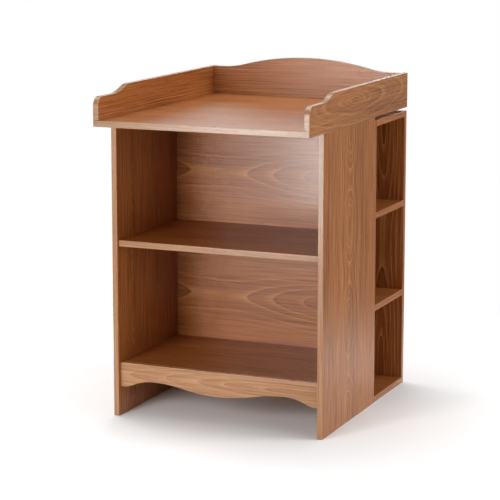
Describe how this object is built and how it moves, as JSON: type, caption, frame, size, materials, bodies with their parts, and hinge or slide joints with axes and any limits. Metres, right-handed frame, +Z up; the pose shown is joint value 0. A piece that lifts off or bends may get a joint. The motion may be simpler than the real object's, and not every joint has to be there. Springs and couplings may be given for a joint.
{
  "type": "changing table",
  "caption": "Changing table: open two-compartment cabinet with a scalloped apron, a deep railed top with a humped back rail, and side-facing shelf towers under its rear overhang.",
  "frame": {"origin": "on the floor, under the middle of the changing top", "axes": "+X to the right seen from the front, +Y to the back, +Z up; the object is the same on both sides of the plane X = 0"},
  "size_m": [0.65, 0.812, 1],
  "materials": {
    "wood_decor": "warm brown wood-grain decor on particle board, satin lacquer",
    "edge_banding": "2 mm wood-grain plastic edging, lighter than the faces, satin",
    "hardboard": "3 mm hardboard with the same wood-grain decor",
    "zinc_steel": "zinc-plated steel",
    "zinc_alloy": "die-cast zinc alloy, bare",
    "beech": "raw beech, fluted dowel"
  },
  "bodies": {
    "root": {"changing_board": "wood_decor", "board_edge_band": "edge_banding", "left_rail": "wood_decor", "left_rail_edge_band": "edge_banding", "right_rail": "wood_decor", "right_rail_edge_band": "edge_banding", "back_rail": "wood_decor", "back_rail_edge_band": "edge_banding", "left_side_panel": "wood_decor", "right_side_panel": "wood_decor", "side_panel_edge_bands": "edge_banding", "middle_shelf": "wood_decor", "middle_shelf_edge_band": "edge_banding", "bottom_shelf": "wood_decor", "apron": "wood_decor", "cabinet_back": "hardboard", "front_stretcher": "wood_decor", "rear_stretcher": "wood_decor", "left_tower_front_wall": "wood_decor", "left_tower_rear_wall": "wood_decor", "left_tower_top": "wood_decor", "left_tower_upper_shelf": "wood_decor", "left_tower_lower_shelf": "wood_decor", "left_tower_bottom": "wood_decor", "left_tower_back": "hardboard", "left_tower_edge_bands": "edge_banding", "right_tower_front_wall": "wood_decor", "right_tower_rear_wall": "wood_decor", "right_tower_top": "wood_decor", "right_tower_upper_shelf": "wood_decor", "right_tower_lower_shelf": "wood_decor", "right_tower_bottom": "wood_decor", "right_tower_back": "hardboard", "right_tower_edge_bands": "edge_banding", "rail_screws": "zinc_steel", "board_screws": "zinc_steel", "tower_connector_screws": "zinc_steel", "cabinet_cam_bolts": "zinc_steel", "tower_cam_bolts": "zinc_steel", "back_panel_nails": "zinc_steel", "cabinet_cam_locks": "zinc_alloy", "tower_cam_locks": "zinc_alloy", "rail_dowels": "beech", "board_dowels": "beech", "cabinet_dowels": "beech", "apron_dowels": "beech", "tower_dowels": "beech"}
  },
  "joints": []
}
